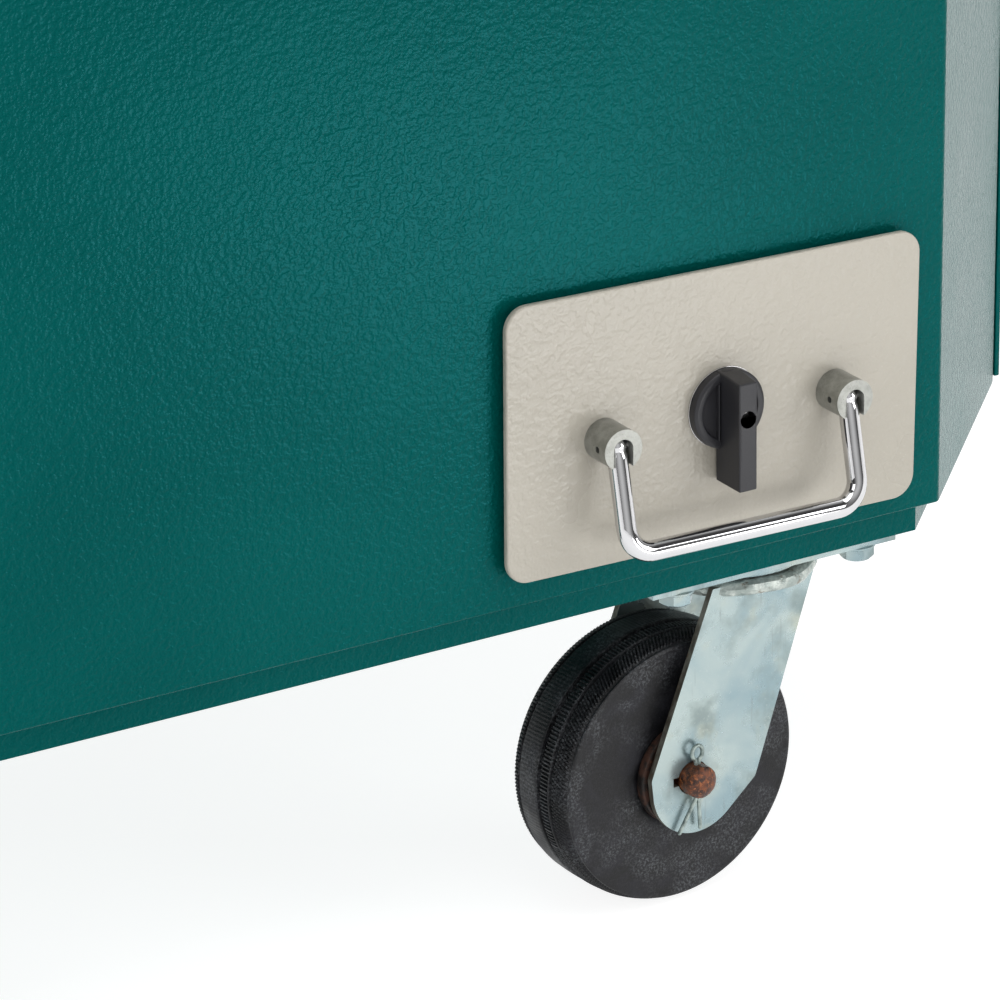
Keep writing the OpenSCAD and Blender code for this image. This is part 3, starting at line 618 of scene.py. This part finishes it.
ROD = 5.5 * MM
BAIL_DROP, BAIL_LEAN, BAIL_BEND = 58 * MM, radians(14), 14 * MM
FERRULE_R = 11.3 * MM
NECK_DEPTH, NECK_AT, NECK_WIDTH = 0.7 * MM, 3 * MM, 1.6 * MM


def divided(a, b, longest):
    """Points from a up to b, without b, no further apart than longest."""
    parts = max(1, math.ceil((b - a).length / longest))
    return [a.lerp(b, k / parts) for k in range(parts)]


def bail(node, joint, ferrules):
    """A bent chrome rod whose domed and necked ends hang in the ferrules."""
    place = basis(JOINTS[joint]["pos_m"], -Vector(JOINTS[joint]["axis"]), (0, 1, 0))
    half = size_of(ferrules)[0] / 2 - FERRULE_R
    down = Vector((0, -sin(BAIL_LEAN), -cos(BAIL_LEAN))) * BAIL_DROP
    left, right = Vector((-half, 0, 0)), Vector((half, 0, 0))
    bent = arc_path([left, left + down, right + down, right], [BAIL_BEND, BAIL_BEND])
    path = divided(bent[0], bent[1], 0.8 * MM) + bent[1:-2] + divided(bent[-2], bent[-1], 0.8 * MM) + [bent[-1]]
    length = sum((b - a).length for a, b in zip(path, path[1:]))

    def radius(walked):
        from_end = min(walked, length - walked)
        return ROD - NECK_DEPTH * math.exp(-((from_end - NECK_AT) / NECK_WIDTH) ** 2)

    piece(node + "_rod", tube(path, radius, 32), node, place)


bail("bay_bail", "bay_handle_swing", "bay_ferrules")
bail("wide_bail_1", "wide_1_handle_swing", "wide_ferrules_1")
bail("wide_bail_2", "wide_2_handle_swing", "wide_ferrules_2")


# ---------------------------------------------------------------- knobs

KNOB_R, KNOB_REACH, WELL_R = 22, 24, 4.5
KNOB_BACK, KNOB_FACE = -1.4, -6.9


def knob(node, joint, outward):
    """A rotary knob: a round base with a dished face, a tall grip with a screw well, and two thin ribs."""
    outward = Vector(outward)
    place = basis(JOINTS[joint]["pos_m"], Vector((0, 0, 1)).cross(outward), -outward)
    r, back, face, reach = KNOB_R, KNOB_BACK, KNOB_FACE, -KNOB_REACH
    profile = [(0, back), (r - 0.4, back), (r, back - 0.4), (r, face + 1.6), (r - 0.4, face + 0.9),
               (r - 1.6, face + 0.1), (r - 2.2, face), (r - 4.3, face), (r - 4.8, face + 0.3),
               (r - 5.6, face + 1.9), (r - 8, face + 2.3), (0, face + 2.4)]
    base = lathe([(radius * MM, along * MM) for radius, along in profile], 96)
    grip = bmesh.new()
    layers = []
    for along, half, top, bottom in ((back - 0.4, 6.1, 21.8, -39.8), (-12, 5.8, 21.3, -40), (reach, 5.5, 19.9, -40.3)):
        corners = ((-half, bottom), (half, bottom), (half, top), (-half, top))
        layers.append([grip.verts.new((x * MM, along * MM, z * MM)) for x, z in corners])
    grip.faces.new(layers[0])
    grip.faces.new(layers[-1][::-1])
    for a, b in zip(layers, layers[1:]):
        for k in range(4):
            grip.faces.new((a[k], a[(k + 1) % 4], b[(k + 1) % 4], b[k]))
    bmesh.ops.recalc_face_normals(grip, faces=grip.faces)
    soften(grip, 0.9 * MM, 4, radians(20))
    grip = boolean(grip, cylinder(WELL_R * MM, (reach - 5) * MM, (reach + 7) * MM))
    rim = [e for e in grip.edges if all(abs(hypot(v.co.x, v.co.z) - WELL_R * MM) < 0.02 * MM
                                        and v.co.y < (reach + 1) * MM for v in e.verts)]
    bmesh.ops.bevel(grip, geom=rim, offset=0.35 * MM, segments=2, profile=0.5, affect="EDGES")
    ribs = []
    for s in (-1, 1):
        rib = brick((s * 7.1 * MM - 0.5 * MM, (face - 0.5) * MM, -16 * MM), (s * 7.1 * MM + 0.5 * MM, (back - 2) * MM, 16 * MM))
        soften(rib, 0.35 * MM, 2)
        ribs.append(rib)
    piece(node + "_body", merge(base, grip, *ribs), node, place)


knob("knob", "bay_knob_turn", (0, -1, 0))
knob("door_knob", "door_knob_turn", (1, 0, 0))


# ---------------------------------------------------------------- casters

KING = Vector(JOINTS["caster_front_swivel"]["pos_m"])
SPIN = Vector(JOINTS["caster_front_spin"]["pos_m"])
TRAIL = hypot(KING.x - SPIN.x, KING.y - SPIN.y)
AXLE_Z = SPIN.z
PLATES_LOW, PLATES_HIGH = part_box("caster_plates")
CROWN_TOP = PLATES_LOW.z - 0.4 * MM
PLATE_LOW = PLATES_HIGH.z - 4 * MM
LEG_IN, LEG_OUT = 33 * MM, 37 * MM
HOLE_X, HOLE_Y = 118 * MM, 78 * MM
PIN_HOLE_R = 9.9 * MM


def tangent_point(p, c, r, side):
    """Where the line from p touches the circle (c, r)."""
    v = p - c
    a = math.acos(r / v.length) * side
    return c + Vector((v.x * cos(a) - v.y * sin(a), v.x * sin(a) + v.y * cos(a))) * (r / v.length)


def toe_outline(left_top, heel, toe, toe_r, knee, right_top, corner):
    """One leg seen from the side: wide at the crown, with a round toe under the axle."""
    left_top, right_top, toe = Vector(left_top), Vector(right_top), Vector(toe)
    before = Vector(heel) if heel else left_top
    after = Vector(knee) if knee else right_top
    start = tangent_point(before, toe, toe_r, 1) - toe
    end = tangent_point(after, toe, toe_r, -1) - toe
    first, last = math.atan2(start.y, start.x), math.atan2(end.y, end.x)
    while last < first:
        last += 2 * pi
    steps = 28
    arc = [toe + Vector((cos(first + (last - first) * k / steps), sin(first + (last - first) * k / steps))) * toe_r
           for k in range(steps + 1)]
    points, radii = [left_top], [0]
    if heel:
        points.append(before)
        radii.append(corner)
    points += arc
    radii += [0] * len(arc)
    if knee:
        points.append(after)
        radii.append(corner)
    points.append(right_top)
    radii.append(0)
    return rounded_corners([tuple(p) for p in points], radii, 5)


def axle_hole(fork, x):
    """Cuts the axle's bore and the keyway at its left through both legs."""
    fork = boolean(fork, cylinder(PIN_HOLE_R, -60 * MM, 60 * MM, x, AXLE_Z))
    keyway = brick((x - 13.2 * MM, -60 * MM, AXLE_Z - 2.6 * MM), (x - 6 * MM, 60 * MM, AXLE_Z + 2.6 * MM))
    return boolean(fork, keyway)


def pressed_fork(outline, top):
    """Legs and bridge of a rigid fork, folded from one strip: a U section kept inside the leg's outline."""
    sheet, outer = LEG_OUT - LEG_IN, 8 * MM
    outside = rounded_corners([(-LEG_OUT, 0), (-LEG_OUT, top), (LEG_OUT, top), (LEG_OUT, 0)], [0, outer, outer, 0], 8)
    inside = rounded_corners([(LEG_IN, 0), (LEG_IN, top - sheet), (-LEG_IN, top - sheet), (-LEG_IN, 0)],
                             [0, outer - sheet, outer - sheet, 0], 8)
    section = extrude_outline(outside + inside, -60 * MM, 60 * MM)
    bmesh.ops.transform(section, matrix=Matrix.Rotation(-pi / 2, 4, "Z"), verts=section.verts)
    bmesh.ops.recalc_face_normals(section, faces=section.faces)
    fork = boolean(section, extrude_outline(outline, -60 * MM, 60 * MM), "INTERSECT")
    fork = axle_hole(fork, 0)
    soften(fork, 0.7 * MM, 3)
    return fork


def fork_legs(outline):
    """The two flat legs of a swivel fork."""
    fork = merge(extrude_outline(outline, -LEG_OUT, -LEG_IN), extrude_outline(outline, LEG_IN, LEG_OUT))
    fork = axle_hole(fork, -TRAIL)
    soften(fork, 0.6 * MM, 3)
    return fork


def crown(top):
    """The fork's round crown with its rolled lip, uneven where it was crimped over the race."""
    profile = [(8.1, -9), (30, -9), (43, -9), (46.5, -9.3), (48.8, -8.2), (49.8, -6.2), (49.9, -4.2), (49.2, -2.2),
               (47.4, -0.9), (44.5, -0.5), (30, -0.4), (8.1, -0.4)]
    fixed = (0, 1, len(profile) - 2, len(profile) - 1)

    def crimp(angle, index):
        if index in fixed:
            return 0
        broad = Vector((cos(angle) * 2.4, sin(angle) * 2.4, index * 0.45))
        fine = Vector((cos(angle) * 9, sin(angle) * 9, index * 0.9))
        return (noise.noise(broad) * 1.1 + noise.noise(fine) * 0.6 - 0.4) * MM

    bm = lathe([(r * MM, along * MM) for r, along in profile], 220, crimp)
    for v in bm.verts:
        depth = v.co.y
        if hypot(v.co.x, v.co.z) > 35 * MM:
            sway = noise.noise(Vector((v.co.x * 60, v.co.z * 60, 3.3))) * 1.1 * MM
            depth = min(depth + sway, -0.3 * MM)
        v.co = Vector((v.co.x, v.co.z, top + depth))
    return bm


def hex_bolt(across, head, washer_r, washer_t):
    """A hexagon head with its top corners turned off, hanging below a flat washer, from z = 0 down."""
    bm = bmesh.new()
    apothem, steps = across / 2, 72
    turned = apothem * 0.97
    rings = []

    def ring(radius_of, height_of):
        out = []
        for k in range(steps):
            a = 2 * pi * k / steps
            r = radius_of(a)
            out.append(bm.verts.new((r * cos(a), r * sin(a), -height_of(r))))
        rings.append(out)

    def flat(a):
        return apothem / cos((a + pi / 6) % (pi / 3) - pi / 6)

    ring(lambda a: washer_r - 0.3 * MM, lambda r: 0)
    ring(lambda a: washer_r, lambda r: 0.3 * MM)
    ring(lambda a: washer_r, lambda r: washer_t - 0.4 * MM)
    ring(lambda a: washer_r - 0.5 * MM, lambda r: washer_t)
    ring(flat, lambda r: washer_t)
    ring(flat, lambda r: head - max(r - turned, 0) * 0.6 - 0.5 * MM)
    ring(lambda a: min(flat(a), turned + 0.1 * MM) - 0.4 * MM, lambda r: head)
    ring(lambda a: apothem * 0.7, lambda r: head)
    ring(lambda a: apothem * 0.66, lambda r: head - 0.25 * MM)
    for a, b in zip(rings, rings[1:]):
        for k in range(steps):
            n = (k + 1) % steps
            bm.faces.new((a[k], b[k], b[n], a[n]))
    bm.faces.new(rings[0])
    bm.faces.new(rings[-1][::-1])
    bmesh.ops.recalc_face_normals(bm, faces=bm.faces)
    return bm


RIDGES = 220


def tyre_profile():
    """Rows of (radius, along, ridge depth, slant) in millimetres, from the near bore to the far one."""
    near = [(19, -24.6, 0, 0), (28, -24.6, 0, 0), (30.5, -25.2, 0, 0), (33, -25.7, 0, 0), (40, -25.8, 0, 0),
            (56, -25.8, 0, 0), (70, -25.8, 0, 0), (72.4, -25.6, 0, 0), (73.3, -25.9, 0, 0), (74.9, -25.8, 0, 0),
            (75.7, -25.2, 0, 0), (75.8, -24.4, 0, 0), (75, -23.9, 0, 0)]
    slanted = [(79.2 - 2.2 * (max(0, -14 - along) / 8.4) ** 1.6, along, 1.3, 0.26)
               for along in [-22.4 + 0.6 * k for k in range(15)]]
    shoulder = [(75, -23.4, 0, 0), (75.6, -22.9, 0, 0)] + slanted
    shoulder += [(78.2, -13.4, 0, 0), (76, -12.9, 0, 0), (76, -11.8, 0, 0), (78.7, -11.2, 0, 0), (79.1, -10.8, 0, 0)]
    middle_rib = [(79.1, -10.3, 0, 0), (79.6, -9.9, 1.4, 0), (79.8, -7, 1.4, 0), (79.7, -4, 1.4, 0), (78.6, -3.4, 0, 0),
                  (76, -2.8, 0, 0), (76, -1.0, 0, 0), (79.2, -0.3, 0, 0)]
    wide_rib = [(79.7, 0.4, 0, 0), (79.9, 1.2, 0.2, 0.1), (79.9, 8, 0.2, 0.1), (79.6, 15.6, 0.2, 0.1), (79, 16.4, 0, 0),
                (77, 17, 0, 0), (77, 18.2, 0, 0), (78.4, 18.8, 0, 0), (78.8, 19.2, 0.9, 0),
                (78.2, 22.4, 0.9, 0), (77, 23.2, 0, 0), (75.8, 23.6, 0, 0)]
    far = [(r, -along, 0, 0) for r, along, depth, slant in near[::-1]]
    return near + shoulder + middle_rib + wide_rib + far


def tyre():
    rows = tyre_profile()
    steps = RIDGES * 4

    def ridge(angle, index):
        r, along, depth, slant = rows[index]
        if not depth:
            return 0
        phase = (angle * RIDGES / (2 * pi) + slant * along) % 1
        return -depth * MM if phase < 0.45 else 0

    bm = lathe([(r * MM, along * MM) for r, along, depth, slant in rows], steps, ridge)
    near_ring, far_ring = [], []
    for v in bm.verts:
        if abs(hypot(v.co.x, v.co.z) - 19 * MM) < 0.01 * MM:
            (near_ring if v.co.y < 0 else far_ring).append(v)
    for a in range(steps):
        b = (a + 1) % steps
        bm.faces.new((near_ring[a], near_ring[b], far_ring[b], far_ring[a]))
    return bm


def hub():
    """A steel sleeve with a rolled flange at each side of the tyre."""
    bore, half = 9.9, 32.5
    side = [(bore, -half), (17.5, -half), (18.6, -half + 0.8), (19, -half + 2), (28, -31), (29.4, -30.4), (30, -29.2),
            (30, -26.2), (29, -25), (19, -24.4)]
    profile = side + [(r, -along) for r, along in side[::-1]] + [side[0]]
    bm = lathe([(r * MM, along * MM) for r, along in profile], 96)
    bmesh.ops.remove_doubles(bm, verts=bm.verts, dist=0.001 * MM)
    return bm


def axle():
    """A clevis pin: domed near end, plain head at the far side, a little uneven with rust."""
    end, head = -49, 42
    profile = [(0, end), (2.5, end + 0.1), (5, end + 0.5), (7, end + 1.2), (8.5, end + 2.2), (9.3, end + 3.3),
               (9.5, end + 5), (9.5, 37.2), (12.6, 37.2), (13.4, 38), (13.4, head - 1.2), (12.4, head - 0.2), (0, head)]

    def pitting(angle, index):
        if profile[index][1] > end + 6.5:
            return 0
        return -abs(noise.noise(Vector((cos(angle) * 3, sin(angle) * 3, index * 0.8)))) * 0.35 * MM

    return lathe([(r * MM, along * MM) for r, along in profile], 96, pitting)


def cotter():
    """A split pin through the axle: a ring on top, two half-round legs that part below."""
    wire, at = 1.15 * MM, -41 * MM
    pieces = []
    loop = []
    for k in range(25):
        a = radians(-68 + 316 * k / 24)
        loop.append((3.5 * MM * cos(a), at, 16.4 * MM + 4.3 * MM * sin(a)))
    pieces.append(tube(loop, wire, 14))
    for s, start_x, lean, length in ((-1, -0.75, 30, 22), (1, 0.75, -4, 19)):
        top = (1.3 * s * MM, at, 12.2 * MM)
        waist = (start_x * MM, at, 9 * MM)
        low = (start_x * MM, at, -10.5 * MM)
        a = radians(lean)
        tip = (start_x * MM - sin(a) * length * MM, at + (0.4 if s > 0 else 0.9) * MM, -10.5 * MM - cos(a) * length * MM)
        pieces.append(tube(arc_path([top, waist, low, tip], [6 * MM, 6 * MM], 8), wire, 14))
    bm = pieces[0]
    return merge(bm, *pieces[1:])


TYRE, HUB, AXLE, COTTER = tyre(), hub(), axle(), cotter()


def wheel_set(place, end, own_hardware):
    """Tyre and hub of one caster; place has its origin under the swivel axis."""
    centre = place @ Matrix.Translation((-TRAIL, 0, AXLE_Z))
    piece("tyre_" + end + "_tread", TYRE.copy(), "tyre_" + end, centre, smooth=radians(40))
    piece("hub_" + end + "_turned", HUB.copy(), "hub_" + end, centre, material=HUB_BROWN)
    if own_hardware:
        piece("axle_" + end + "_pin", AXLE.copy(), "axle_" + end, centre)
        piece("cotter_" + end + "_wire", COTTER.copy(), "cotter_" + end, centre)
    return centre


def swivel_outline():
    """The swivel fork's leg: wide at the crown, with a round toe, a heel and a knee."""
    top = CROWN_TOP - 2.5 * MM
    toe = (-TRAIL + 4 * MM, AXLE_Z - 3 * MM)
    heel = (-TRAIL - 28 * MM, AXLE_Z + 5 * MM)
    knee = (-TRAIL + 43 * MM, AXLE_Z - 11 * MM)
    return toe_outline((-38 * MM, top), heel, toe, 31 * MM, knee, (33 * MM, top), 5 * MM)


def rigid_outline():
    """A rigid fork's leg, run on past the bridge's top."""
    half, above = 38 * MM, CROWN_TOP + 4 * MM
    return toe_outline((-half, above), None, (0, AXLE_Z - 5 * MM), 31 * MM, None, (half, above), 0)


def swivel_caster(end, king):
    spin = Vector(JOINTS["caster_" + end + "_spin"]["pos_m"])
    along = Vector((king.x - spin.x, king.y - spin.y, 0))
    place = basis((king.x, king.y, 0), along, Vector((0, 0, 1)).cross(along))
    piece("fork_" + end + "_legs", fork_legs(swivel_outline()), "fork_" + end, place, edge=SHEARED)
    piece("fork_" + end + "_crown", crown(CROWN_TOP), "fork_" + end, place, material=CRIMPED)
    wheel_set(place, end, True)


swivel_caster("front", KING)
swivel_caster("rear", Vector(JOINTS["caster_rear_swivel"]["pos_m"]))

rigid = bmesh.new()
pins = bmesh.new()
wires = bmesh.new()
for end in ("left_front", "left_rear"):
    wheel = Vector(JOINTS[end + "_spin"]["pos_m"])
    centre = wheel_set(Matrix.Translation((wheel.x + TRAIL, wheel.y, 0)), end, False)
    fork = pressed_fork(rigid_outline(), CROWN_TOP + 0.4 * MM)
    for target, bm, at in ((rigid, fork, Matrix.Translation((wheel.x, wheel.y, 0))),
                           (pins, AXLE.copy(), centre), (wires, COTTER.copy(), centre)):
        bmesh.ops.transform(bm, matrix=at, verts=bm.verts)
        merge(target, bm)
piece("rigid_forks_pressing", rigid, "rigid_forks")
piece("rigid_axles_pin", pins, "rigid_axles")
piece("rigid_cotters_wire", wires, "rigid_cotters")

bolts = bmesh.new()
kings = [Vector(JOINTS["caster_" + end + "_swivel"]["pos_m"]) for end in ("front", "rear")]
kings += [Vector(JOINTS["left_" + end + "_spin"]["pos_m"]) for end in ("front", "rear")]
for n, king in enumerate(kings):
    for dx in (-0.5, 0.5):
        for dy in (-0.5, 0.5):
            bolt = hex_bolt(17 * MM, 8.4 * MM, 10.4 * MM, 1.8 * MM)
            shank = lathe([(0, 0), (4.4 * MM, 0), (4.95 * MM, 0.6 * MM), (4.95 * MM, 17 * MM), (0, 17 * MM)], 32)
            bmesh.ops.transform(shank, matrix=Matrix.Rotation(pi / 2, 4, "X"), verts=shank.verts)
            merge(bolt, shank)
            turn = Matrix.Rotation(radians(17 + 90 * dx + 140 * dy + 23 * n), 4, "Z")
            at = Matrix.Translation((king.x + dx * HOLE_X, king.y + dy * HOLE_Y, PLATE_LOW))
            bmesh.ops.transform(bolt, matrix=at @ turn, verts=bolt.verts)
            merge(bolts, bolt)
piece("plate_bolts_hex", bolts, "plate_bolts")


# ---------------------------------------------------------------- floor, lights and camera

floor_mesh = bpy.data.meshes.new("studio_floor")
half_floor = 20
floor_mesh.from_pydata([(-half_floor, -half_floor, 0), (half_floor, -half_floor, 0),
                        (half_floor, half_floor, 0), (-half_floor, half_floor, 0)], [], [(0, 1, 2, 3)])
floor_mesh.materials.append(floor_paint())
floor = bpy.data.objects.new("studio_floor", floor_mesh)
bpy.context.scene.collection.objects.link(floor)

def studio_world(panels, dark, bright, turn):
    """A grey studio whose walls brighten and darken softly round the chest, for the metal to reflect."""
    world = bpy.data.worlds.new("studio")
    world.use_nodes = True
    tree = world.node_tree
    background = tree.nodes["Background"]
    background.inputs["Color"].default_value = (1, 1, 1, 1)
    coords = tree.nodes.new("ShaderNodeTexCoord")
    split = tree.nodes.new("ShaderNodeSeparateXYZ")
    tree.links.new(coords.outputs["Generated"], split.inputs["Vector"])

    def maths(operation, first, second):
        node = tree.nodes.new("ShaderNodeMath")
        node.operation = operation
        for socket, value in zip(node.inputs, (first, second)):
            if isinstance(value, (int, float)):
                socket.default_value = value
            else:
                tree.links.new(value, socket)
        return node.outputs[0]

    bearing = maths("ARCTAN2", split.outputs["Y"], split.outputs["X"])
    wave = maths("SINE", maths("ADD", maths("MULTIPLY", bearing, panels), turn), 0)
    level = maths("ADD", maths("MULTIPLY", wave, (bright - dark) / 2), (bright + dark) / 2)
    tree.links.new(level, background.inputs["Strength"])
    bpy.context.scene.world = world


studio_world(3, 0.06, 0.7, 0.6)


def softbox(name, place, aim, width, height, power):
    light = bpy.data.lights.new(name, "AREA")
    light.shape = "RECTANGLE"
    light.size, light.size_y = width, height
    light.energy = power
    obj = bpy.data.objects.new(name, light)
    obj.location = place
    obj.rotation_euler = (Vector(aim) - Vector(place)).to_track_quat("-Z", "Y").to_euler()
    obj.visible_camera = False
    bpy.context.scene.collection.objects.link(obj)


plate = middle("bay_front")
softbox("key_right", plate + Vector((2.4, -2.2, 1.0)), plate, 1.6, 1.6, 37)
softbox("fill_left", plate + Vector((-3.0, -1.5, 2.2)), plate, 2.0, 2.0, 26)
softbox("top_soft", plate + Vector((0, -0.5, 3.2)), plate, 3.0, 3.0, 62)
softbox("low_front", plate + Vector((0.26, -0.72, -0.14)), plate + Vector((-0.16, 0, 0.2)), 0.36, 0.16, 1.1)

bpy.context.scene.view_settings.view_transform = "Standard"

camera = bpy.data.cameras.new("camera")
camera.sensor_width = 36
camera.lens = 165.2
yaw, pitch, roll = radians(29.895), radians(21.889), radians(-1.225)
forward = Vector((sin(yaw) * cos(pitch), cos(yaw) * cos(pitch), -sin(pitch)))
level = Vector((cos(yaw), -sin(yaw), 0))
above = level.cross(forward)
right = level * cos(roll) + above * sin(roll)
up = above * cos(roll) - level * sin(roll)
eye = plate + Vector((-1.2222, -1.8973, 0.8543))
camera_object = bpy.data.objects.new("camera", camera)
camera_object.matrix_world = Matrix((
    (right.x, up.x, -forward.x, eye.x), (right.y, up.y, -forward.y, eye.y),
    (right.z, up.z, -forward.z, eye.z), (0, 0, 0, 1)))
bpy.context.scene.collection.objects.link(camera_object)
bpy.context.scene.camera = camera_object
